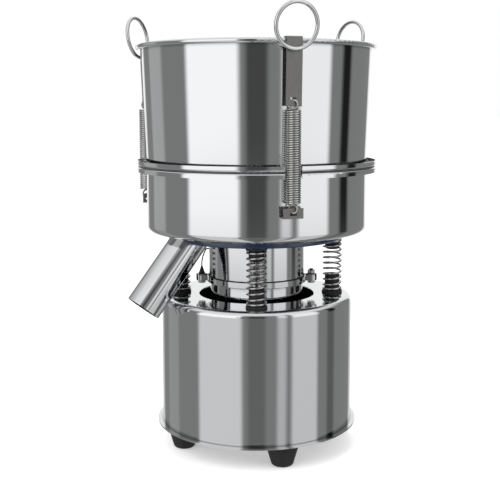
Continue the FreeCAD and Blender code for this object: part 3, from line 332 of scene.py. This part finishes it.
def weld_bead(name, tone):
    """Weld metal left as laid: rippled, with straw and blue heat tints."""
    material, tree, shader = new_material(name, Base_Color=tone, Metallic=1.0, Roughness=0.38)
    ripples = grain(tree, (900, 900, 900), Detail=2.0)
    tinted(tree, shader, ripples.outputs[0], (linear("#3a3b44"), tone, linear("#8a7b66")))
    relief(tree, shader, ripples.outputs[0], 0.0002)
    return material


def make_materials(finishes):
    """Every finish of the machine, each named for what it is."""
    steel, brushed = tuple(finishes.steel), tuple(finishes.brushed)
    return {
        "shell": buffed_steel("Stainless 304 sheet, mirror buffed", steel, True),
        "tube": buffed_steel("Stainless 304 tube, mirror buffed", steel, False),
        "brushed": brushed_steel("Stainless 304 strip, belt brushed", brushed),
        "wire": drawn_wire("Spring wire, drawn", tuple(finishes.wire)),
        "enamel": stove_enamel("Stove enamel on steel, navy", tuple(finishes.enamel)),
        "rubber": moulded_rubber("Nitrile rubber, moulded", tuple(finishes.rubber)),
        # the gasket's dark grey is partly its own rubber and partly painted shade of the gap between the flanges
        "gasket": moulded_rubber("Silicone rubber, extruded", linear("#3c3d3f")),
        "plastic": moulded_plastic("ABS, moulded black", tuple(finishes.plastic)),
        "rocker": moulded_plastic("Polyamide, moulded red", tuple(finishes.rocker), 0.25),
        "print": moulded_plastic("Pad print, white", linear("#e8e8e6"), 0.45),
        "capacitor": moulded_plastic("Polypropylene, moulded white", linear("#dcdbd6"), 0.4),
        "zinc": rough_metal("Carbon steel, zinc plated", linear("#a3a4a1"), 0.0012, 0.00002, 0.32),
        "iron": rough_metal("Grey iron, as cast", linear("#4a4a49"), 0.0015, 0.0002),
        "aluminium": rough_metal("Aluminium, die cast", linear("#b4b6b7"), 0.002, 0.00005, 0.42),
        "bearing": rough_metal("Bearing steel, ground", linear("#bfc0c2"), 0.0006, 0.000005, 0.2),
        "stack": stacked_sheets("Electrical steel, stacked sheets", linear("#6c6d70")),
        "copper": wound_copper("Copper wire, enamelled and wound", linear("#b5703c")),
        "cloth": wire_cloth("Stainless wire cloth, woven", linear("#a6a6a4")),
        "weld": weld_bead("Stainless weld, as laid", linear("#6a6662")),
    }


FINISH_OF = (
    ("foot_", "rubber"), ("bottom_plate", "tube"), ("base_drum", "shell"), ("spring_seat_", "rubber"),
    ("main_spring_", "wire"), ("switch_bezel", "plastic"), ("switch_rocker", "rocker"), ("cord_gland", "plastic"),
    ("capacitor_clip", "brushed"), ("capacitor", "capacitor"), ("carrier_tray", "enamel"),
    ("collecting_pan", "shell"), ("discharge_chute", "tube"), ("screen_gasket", "gasket"),
    ("screen_hoop", "brushed"), ("screen_mesh", "cloth"), ("hopper", "shell"), ("motor_can", "shell"),
    ("motor_cup", "shell"), ("end_shield", "aluminium"), ("bearing_", "bearing"), ("stator_stack", "stack"),
    ("stator_windings", "copper"), ("motor_shaft", "bearing"), ("rotor_core", "stack"), ("weight_", "iron"),
    ("ear_bolt_", "zinc"), ("earth_lead", "plastic"), ("clamp_lug_", "brushed"), ("clamp_spring_", "wire"),
    ("clamp_strap_", "brushed"), ("pull_ring_", "tube"),
)
materials = {}


# ------------------------------------------------------------------ shapes


def new_piece(name, vertices, faces, finish, body, smooth=True):
    """A mesh piece with a finish, riding on a body of the machine."""
    mesh = bpy.data.meshes.new(name)
    mesh.from_pydata([tuple(v) for v in vertices], [], faces)
    mesh.materials.append(materials[finish])
    for polygon in mesh.polygons:
        polygon.use_smooth = smooth
    mesh.update()
    piece = bpy.data.objects.new(name, mesh)
    bpy.context.scene.collection.objects.link(piece)
    if body:
        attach(piece, body)
    return piece


def tube(points, radius, sides=10, closed=False):
    """Vertices and faces of a round bar along a line of points; radius may be a list, one for each point."""
    count = len(points)
    radii = radius if isinstance(radius, (list, tuple)) else [radius] * count
    vertices, faces = [], []
    across = None
    for i, point in enumerate(points):
        before = points[i - 1] if i or closed else point
        after = points[(i + 1) % count] if i + 1 < count or closed else point
        along = (after - before).normalized()
        if across is None:
            across = along.orthogonal().normalized()
        across = (across - along * across.dot(along)).normalized()
        upright = along.cross(across)
        for k in range(sides):
            angle = 2 * math.pi * k / sides
            vertices.append(point + (across * math.cos(angle) + upright * math.sin(angle)) * radii[i])
    for i in range(count if closed else count - 1):
        j = (i + 1) % count
        for k in range(sides):
            m = (k + 1) % sides
            faces.append((i * sides + k, i * sides + m, j * sides + m, j * sides + k))
    if not closed:
        faces.append(tuple(range(sides))[::-1])
        faces.append(tuple((count - 1) * sides + k for k in range(sides)))
    return vertices, faces


def turned(profile, sides=48, centre=Vector((0, 0, 0)), along=Vector((0, 0, 1))):
    """Vertices and faces of a profile of (radius, height) pairs turned round an axis."""
    turn = Vector((0, 0, 1)).rotation_difference(along.normalized()).to_matrix()
    vertices, faces = [], []
    for radius, height in profile:
        for k in range(sides):
            angle = 2 * math.pi * k / sides
            vertices.append(centre + turn @ Vector((radius * math.cos(angle), radius * math.sin(angle), height)))
    for i in range(len(profile) - 1):
        for k in range(sides):
            m = (k + 1) % sides
            faces.append((i * sides + k, i * sides + m, (i + 1) * sides + m, (i + 1) * sides + k))
    return vertices, faces


def joined(*shapes):
    """Several shapes as one list of vertices and faces."""
    vertices, faces = [], []
    for more, rims in shapes:
        start = len(vertices)
        vertices += list(more)
        faces += [tuple(start + i for i in rim) for rim in rims]
    return vertices, faces


def smooth_line(knots, steps):
    """A smooth line through knots, as Bezier spans with handles along the neighbours' chord."""
    points = []
    for i in range(len(knots) - 1):
        a, b = knots[i], knots[i + 1]
        before = knots[i - 1] if i else a
        after = knots[i + 2] if i + 2 < len(knots) else b
        span = interpolate_bezier(a, a + (b - before) / 6, b - (after - a) / 6, b, steps + 1)
        points += [Vector(p) for p in span[:-1]]
    return points + [knots[-1]]


# ------------------------------------------------------------------ operators


class SIEVE_OT_solids(Operator):
    """Gives every solid of the machine its finish"""
    bl_idname = "sieve.solids"
    bl_label = "Finish the solids"

    def execute(self, context):
        materials.update(make_materials(context.scene.sieve_finishes))
        for name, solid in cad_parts.items():
            finish = next(finish for start, finish in FINISH_OF if name.startswith(start))
            solid.data.materials.clear()
            solid.data.materials.append(materials[finish])
            for polygon in solid.data.polygons:
                polygon.material_index = 0
        return {"FINISHED"}


class SIEVE_OT_main_springs(Operator):
    """Winds the four compression springs with closed ends between their rubber seats"""
    bl_idname = "sieve.main_springs"
    bl_label = "Wind the main springs"

    def execute(self, context):
        sizes = context.scene.sieve_springs
        wire, reach, turns = sizes.main_wire, sizes.main_reach, sizes.main_turns
        per_turn = 32
        for index in range(4):
            node = "main_spring_%d" % index
            low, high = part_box(node)
            foot, head = low.z, high.z
            axis = middle("spring_seat_lower_%d" % index)
            closed_pitch = 2 * wire + 0.1 * MM
            open_pitch = (head - foot - 2 * wire - 2 * closed_pitch) / (turns - 2)
            points = []
            for i in range(round(turns * per_turn) + 1):
                turn = i / per_turn
                height = (min(turn, 1) * closed_pitch + min(max(turn - 1, 0), turns - 2) * open_pitch
                          + max(turn - turns + 1, 0) * closed_pitch)
                angle = 2 * math.pi * turn
                points.append(Vector((axis.x + reach * math.cos(angle), axis.y + reach * math.sin(angle),
                                      foot + wire + height)))
            spring = new_piece("main_spring_coil_%d" % index, *tube(points, wire, 12), "wire", None)
            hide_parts(node)
            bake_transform(spring)
        return {"FINISHED"}


class SIEVE_OT_clamp_springs(Operator):
    """Winds the three extension springs with a round hook at each end"""
    bl_idname = "sieve.clamp_springs"
    bl_label = "Wind the clamp springs"

    def execute(self, context):
        sizes = context.scene.sieve_springs
        wire, reach, loop = sizes.clamp_wire, sizes.clamp_reach, sizes.hook_reach
        per_turn = 24
        for name, azimuth in CLAMPS.items():
            node = "clamp_spring_" + name
            low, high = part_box(node)
            axis = (low + high) / 2
            foot = low.z + 2 * loop + 2 * wire
            head = high.z - 2 * loop - 2 * wire
            cross = outward(azimuth + 90 - 45)
            side = Vector((0, 0, 1)).cross(cross)
            turns = sizes.clamp_turns
            base = Vector((axis.x, axis.y, 0))

            def hook(level, up):
                """Knots from the coil's end over the axis and round the hook."""
                rise = Vector((0, 0, 1 if up else -1))
                centre = base + Vector((0, 0, level)) + rise * (loop + wire)
                knots = []
                for degrees in (-90, -60, -30, 0, 30, 60, 90, 120, 150, 180, 205, 228):
                    angle = math.radians(degrees)
                    knots.append(centre + cross * loop * math.cos(angle) + rise * loop * math.sin(angle))
                return knots

            coil = []
            for i in range(turns * per_turn + 1):
                angle = math.pi + 2 * math.pi * i / per_turn
                height = foot + wire + (head - foot - 2 * wire) * i / (turns * per_turn)
                coil.append(base + (cross * math.cos(angle) + side * math.sin(angle)) * reach
                            + Vector((0, 0, height)))
            lead = Vector((0, 0, 0.35 * wire))
            entry = [coil[0] + cross * 0.25 * reach - side * 0.0 - lead * 2]
            line = smooth_line(hook(foot + wire, False)[::-1] + entry + coil[2:4], 6)[:-6]
            line += coil[3:-3]
            leave = [coil[-1] + cross * 0.25 * reach + lead * 2]
            line += smooth_line(coil[-4:-2] + leave + hook(head - wire, True), 6)[6:]
            spring = new_piece("clamp_spring_coil_" + name, *tube(line, wire, 10), "wire", None)
            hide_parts(node)
            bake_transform(spring)
        return {"FINISHED"}


class SIEVE_OT_ring_welds(Operator):
    """Lays the weld that holds each pull ring to its strap"""
    bl_idname = "sieve.ring_welds"
    bl_label = "Weld the pull rings"

    def execute(self, context):
        for name, azimuth in CLAMPS.items():
            low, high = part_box("pull_ring_" + name)
            way = outward(azimuth)
            side = Vector((0, 0, 1)).cross(way)
            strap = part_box("clamp_strap_" + name)[1].z
            place = way * 165.6 * MM + Vector((0, 0, low.z + 2.4 * MM))
            shapes = []
            for step, fat in ((-3.2, 1.7), (0.0, 2.1), (3.4, 1.6)):
                spot = place + side * step * MM
                line = [spot + side * t * MM for t in (-2.2, -1.5, -0.5, 0.6, 1.6, 2.2)]
                shapes.append(tube(line, [fat * f * MM for f in (0.35, 0.8, 1.0, 0.95, 0.75, 0.3)], 12))
            new_piece("ring_weld_" + name, *joined(*shapes), "weld", "strap_" + name)
        return {"FINISHED"}


class SIEVE_OT_seams(Operator):
    """Lays the chute's weld under the pan and the lugs' welds"""
    bl_idname = "sieve.seams"
    bl_label = "Weld the seams"

    def execute(self, context):
        low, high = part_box("discharge_chute")
        # the chute's outside meets the pan's underside along an ellipse
        root = outward(CHUTE_AZIMUTH) * 94 * MM
        root.z = PAN_FLOOR
        across = outward(CHUTE_AZIMUTH + 90)
        up = CHUTE_WAY.cross(across)
        ellipse = []
        for k in range(96):
            angle = 2 * math.pi * k / 96
            spot = root + (across * math.cos(angle) + up * math.sin(angle)) * 24.3 * MM
            spot += CHUTE_WAY * ((PAN_FLOOR - 0.5 * MM - spot.z) / CHUTE_WAY.z)
            ellipse.append(spot)
        widths = [(1.5 + 0.25 * math.sin(k * 2.6)) * MM for k in range(96)]
        new_piece("chute_weld", *tube(ellipse, widths, 10, True), "weld", "shaker")
        for name, azimuth in CLAMPS.items():
            foot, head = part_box("clamp_lug_" + name)
            way = outward(azimuth)
            side = Vector((0, 0, 1)).cross(way)
            shapes = []
            for hand in (-1, 1):
                base = way * 149.9 * MM + side * hand * 12.9 * MM
                line = [base + Vector((0, 0, foot.z + t * MM)) for t in range(1, 13)]
                widths = [(0.9 + 0.2 * math.sin(t * 2.1)) * MM for t in range(12)]
                shapes.append(tube(line, widths, 8))
            new_piece("lug_weld_" + name, *joined(*shapes), "weld", "shaker")
        return {"FINISHED"}


def hexagon_nut(centre, across_flats, height, bore, chamfer):
    """A hexagon with its corners turned off at both ends, bored through."""
    corner = across_flats / math.sqrt(3)
    flat = across_flats / 2
    sides = 48
    rings = []
    for level, limit in ((0, flat * 0.96), (chamfer, corner), (height - chamfer, corner), (height, flat * 0.96)):
        ring = []
        for k in range(sides):
            angle = 2 * math.pi * k / sides
            reach = flat / math.cos((angle + math.pi / 6) % (math.pi / 3) - math.pi / 6)
            reach = min(reach, limit)
            ring.append(centre + Vector((reach * math.cos(angle), reach * math.sin(angle), level)))
        rings.append(ring)
    for level in (height, 0):
        rings.append([centre + Vector((bore * math.cos(2 * math.pi * k / sides),
                                       bore * math.sin(2 * math.pi * k / sides), level))
                      for k in range(sides)])
    vertices = [spot for ring in rings for spot in ring]
    faces = []
    for i in range(len(rings)):
        j = (i + 1) % len(rings)
        for k in range(sides):
            m = (k + 1) % sides
            faces.append((i * sides + k, i * sides + m, j * sides + m, j * sides + k))
    return vertices, faces


class SIEVE_OT_flange_bolts(Operator):
    """Makes the motor's flange bolts: hex heads, washers, chamfered nuts and threaded ends"""
    bl_idname = "sieve.flange_bolts"
    bl_label = "Make the flange bolts"

    def execute(self, context):
        flange_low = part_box("motor_cup")[1].z - 3.7 * MM
        flange_high = flange_low + 7.4 * MM
        for index in range(4):
            node = "ear_bolt_%d" % index
            low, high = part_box(node)
            centre = outward(90 * index) * 76 * MM
            shapes = [hexagon_nut(centre + Vector((0, 0, low.z)), 9.9 * MM, 4 * MM, 0.2 * MM, 0.6 * MM)]
            washer = ((3.1, 0), (7.7, 0), (8.0, 0.3), (8.0, 1.3), (7.7, 1.55), (3.1, 1.55))
            shapes.append(turned([(r * MM, h * MM) for r, h in washer], 40,
                                 centre + Vector((0, 0, flange_high))))
            if index < 3:
                shapes.append(hexagon_nut(
                    centre + Vector((0, 0, flange_high + 1.6 * MM)), 9.9 * MM, 5 * MM, 2.6 * MM, 0.6 * MM))
            # thread of 1 mm pitch, turned as ridges
            top = high.z
            thread = [(2.95, 0.0)]
            level = 0.0
            reach = (top - low.z) / MM - 4
            while level + 1.0 < reach:
                thread += [(2.95, level + 0.25), (2.45, level + 0.75)]
                level += 1.0
            thread += [(2.3, reach), (0.01, reach)]
            shapes.append(turned([(r * MM, h * MM) for r, h in thread], 24,
                                 centre + Vector((0, 0, low.z + 4 * MM))))
            bolt = new_piece("flange_bolt_%d" % index, *joined(*shapes), "zinc", "shaker", False)
            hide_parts(node)
        return {"FINISHED"}


class SIEVE_OT_joint_shade_beads(Operator):
    """Lays dark rubber beads above and below the motor's flange as painted shade lines, where the joint shows only
    shade
    """
    bl_idname = "sieve.joint_seals"
    bl_label = "Seal the motor's joint"

    def execute(self, context):
        flange_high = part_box("motor_can")[0].z + 3.7 * MM
        flange_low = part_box("motor_cup")[1].z - 3.7 * MM
        for name, radius, level in (("upper", 66.3, flange_high + 0.5 * MM), ("lower", 64.4, flange_low - 0.6 * MM)):
            bead = []
            for k in range(96):
                angle = 2 * math.pi * k / 96
                bead.append(Vector((radius * MM * math.cos(angle), radius * MM * math.sin(angle), level)))
            widths = [(0.85 + 0.12 * math.sin(k * 1.7)) * MM for k in range(96)]
            new_piece("joint_shade_bead_" + name, *tube(bead, widths, 8, True), "rubber", "shaker")
        return {"FINISHED"}


# what the steel mirrors: lamps and dark cards standing round the machine, each with the azimuth of its
# middle and its width in degrees, and how bright it looks in the steel
PANELS = {
    "rear left card": (-120, 20, 0.6),
    "left softbox": (-45, 50, 0.95),
    "front dark card": (0, 16, 0.25),
    "front strip lamp": (30, 6, 0.8),
    "right softbox": (60, 30, 0.9),
    "right black card": (100, 8, 0.1),
}
PANEL_EDGE = 5
ROOM_BRIGHTNESS = 0.45
BACKDROP_WIDTH, BACKDROP_BRIGHTNESS = 60, 0.85


class SIEVE_OT_studio(Operator):
    """Sets up the floor, the lamps, the surroundings that the steel mirrors, and the camera"""
    bl_idname = "sieve.studio"
    bl_label = "Set up the studio"

    def execute(self, context):
        studio = context.scene.sieve_studio
        self.surroundings(context)
        floor_material, tree, shader = new_material(
            "Studio floor, matt paper", Base_Color=tuple(studio.floor), Roughness=0.9)
        fibres = grain(tree, (900, 900, 900), Detail=2.0)
        relief(tree, shader, fibres.outputs[0], 0.00005, 0.3)
        # the camera sees the paper a little lifted, so that it runs out into the white backdrop
        output = tree.nodes["Material Output"]
        path = add_node(tree, "ShaderNodeLightPath")
        lift = add_node(tree, "ShaderNodeEmission", {}, {"Color": (1, 1, 1, 1), "Strength": 0.35})
        seen = add_node(tree, "ShaderNodeMixShader", {}, {0: path.outputs["Is Camera Ray"], 2: lift.outputs[0]})
        both = add_node(tree, "ShaderNodeAddShader", {}, {0: shader.outputs[0], 1: seen.outputs[0]})
        tree.links.new(both.outputs[0], output.inputs["Surface"])
        mesh = bpy.data.meshes.new("floor")
        reach = 30.0
        mesh.from_pydata([(-reach, -reach, 0), (reach, -reach, 0), (reach, reach, 0), (-reach, reach, 0)], [],
                         [(0, 1, 2, 3)])
        mesh.materials.append(floor_material)
        floor = bpy.data.objects.new("floor", mesh)
        floor.location.z = -0.0002
        floor.visible_glossy = False
        context.scene.collection.objects.link(floor)

        for name, azimuth, height, reach, power, wide in (
                ("key", -38, 1.5, 1.7, 26, 1.2), ("fill", 60, 1.1, 1.8, 9, 1.4), ("top", 180, 2.4, 0.3, 22, 1.6)):
            lamp = bpy.data.lights.new(name, "AREA")
            lamp.energy = power
            lamp.size = wide
            holder = bpy.data.objects.new(name, lamp)
            holder.location = outward(azimuth) * reach + Vector((0, 0, height))
            aim = Vector((0, 0, 0.3)) - holder.location
            holder.rotation_euler = aim.to_track_quat("-Z", "Y").to_euler()
            holder.visible_glossy = False
            context.scene.collection.objects.link(holder)

        camera = bpy.data.cameras.new("camera")
        camera.lens = studio.lens
        camera.shift_x, camera.shift_y = studio.shift_x, studio.shift_y
        holder = bpy.data.objects.new("camera", camera)
        holder.location = (0, -studio.distance, studio.height)
        holder.rotation_euler = (math.pi / 2 - studio.pitch, 0, 0)
        context.scene.collection.objects.link(holder)
        context.scene.camera = holder
        context.scene.view_settings.view_transform = "Standard"
        return {"FINISHED"}

    def surroundings(self, context):
        """Strip lights and dark gaps round the machine, as upright bands that the steel mirrors."""
        world = bpy.data.worlds.new("Studio")
        context.scene.world = world
        world.use_nodes = True
        tree = world.node_tree
        tree.nodes.clear()
        place = add_node(tree, "ShaderNodeTexCoord")
        parts = add_node(tree, "ShaderNodeSeparateXYZ", {}, {0: place.outputs["Generated"]})
        away = add_node(tree, "ShaderNodeMath", {"operation": "MULTIPLY"}, {0: parts.outputs["Y"], 1: -1.0})
        bearing = add_node(tree, "ShaderNodeMath", {"operation": "ARCTAN2"}, {
            0: parts.outputs["X"], 1: away.outputs[0]})
        share = add_node(tree, "ShaderNodeMath", {"operation": "MULTIPLY_ADD"}, {
            0: bearing.outputs[0], 1: 1 / (2 * math.pi), 2: 0.5})
        ramp = fill_ramp(add_node(tree, "ShaderNodeValToRGB", {}, {0: share.outputs[0]}),
                         [(0.5 + azimuth / 360, self.brightness(value)) for azimuth, value in self.bands()])
        # the panels end above the floor, so low down their light runs out into the room's grey
        room_grey = (self.brightness(ROOM_BRIGHTNESS),) * 3 + (1,)
        strength = add_node(tree, "ShaderNodeMapRange", {"interpolation_type": "SMOOTHSTEP"}, {
            "Value": parts.outputs["Z"], "From Min": -0.22, "From Max": -0.1, "To Min": 0.5, "To Max": 1.0})
        around = add_node(tree, "ShaderNodeMixRGB", {}, {
            0: strength.outputs[0], 1: room_grey, 2: ramp.outputs[0]}).outputs[0]
        ceiling = add_node(tree, "ShaderNodeMapRange", {"interpolation_type": "SMOOTHSTEP"}, {
            "Value": parts.outputs["Z"], "From Min": 0.35, "From Max": 0.75, "To Min": 0.0, "To Max": 1.0})
        room = add_node(tree, "ShaderNodeMixRGB", {}, {
            0: ceiling.outputs[0], 1: around, 2: (1.0, 1.0, 1.0, 1)})
        path = add_node(tree, "ShaderNodeLightPath")
        seen = add_node(tree, "ShaderNodeMixRGB", {}, {
            0: path.outputs["Is Camera Ray"], 1: room.outputs[0], 2: (1, 1, 1, 1)})
        background = add_node(tree, "ShaderNodeBackground", {}, {0: seen.outputs[0], "Strength": 1.0})
        add_node(tree, "ShaderNodeOutputWorld", {}, {0: background.outputs[0]})

    def bands(self):
        """The room's brightness by azimuth, from behind on the left round to behind on the right."""
        edge = 180 - BACKDROP_WIDTH / 2
        stops = [(-180, BACKDROP_BRIGHTNESS), (-edge - PANEL_EDGE, BACKDROP_BRIGHTNESS), (-edge, ROOM_BRIGHTNESS)]
        for azimuth, width, value in PANELS.values():
            low, high = azimuth - width / 2, azimuth + width / 2
            stops += [(low - PANEL_EDGE, ROOM_BRIGHTNESS), (low, value), (high, value),
                      (high + PANEL_EDGE, ROOM_BRIGHTNESS)]
        return stops + [(edge, ROOM_BRIGHTNESS), (edge + PANEL_EDGE, BACKDROP_BRIGHTNESS),
                        (180, BACKDROP_BRIGHTNESS)]

    def brightness(self, value):
        """A band's light from how bright it looks in steel, which gives back about 65% of it."""
        return linear("#%02x%02x%02x" % ((round(value * 255),) * 3))[0] / 0.65


class SIEVE_PT_panel(Panel):
    """The machine's pieces, in the order in which they are made"""
    bl_idname = "SIEVE_PT_panel"
    bl_label = "Vibrating Sieve"
    bl_space_type = "VIEW_3D"
    bl_region_type = "UI"
    bl_category = "Sieve"

    def draw(self, context):
        for group in (context.scene.sieve_springs, context.scene.sieve_finishes, context.scene.sieve_studio):
            box = self.layout.box()
            for name in group.__annotations__:
                box.prop(group, name)
        for operator in PIECES:
            self.layout.operator(operator.bl_idname)


PIECES = (
    SIEVE_OT_solids, SIEVE_OT_main_springs, SIEVE_OT_clamp_springs, SIEVE_OT_ring_welds, SIEVE_OT_seams,
    SIEVE_OT_flange_bolts, SIEVE_OT_joint_shade_beads, SIEVE_OT_studio,
)
GROUPS = {"sieve_springs": SieveSprings, "sieve_finishes": SieveFinishes, "sieve_studio": SieveStudio}


def register():
    for cls in (*GROUPS.values(), *PIECES, SIEVE_PT_panel):
        bpy.utils.register_class(cls)
    for name, group in GROUPS.items():
        setattr(bpy.types.Scene, name, PointerProperty(type=group))


def unregister():
    for name in GROUPS:
        delattr(bpy.types.Scene, name)
    for cls in (SIEVE_PT_panel, *reversed(PIECES), *reversed(GROUPS.values())):
        bpy.utils.unregister_class(cls)


def main():
    register()
    for operator in PIECES:
        namespace, call = operator.bl_idname.split(".")
        getattr(getattr(bpy.ops, namespace), call)()


if __name__ == "__main__":
    main()
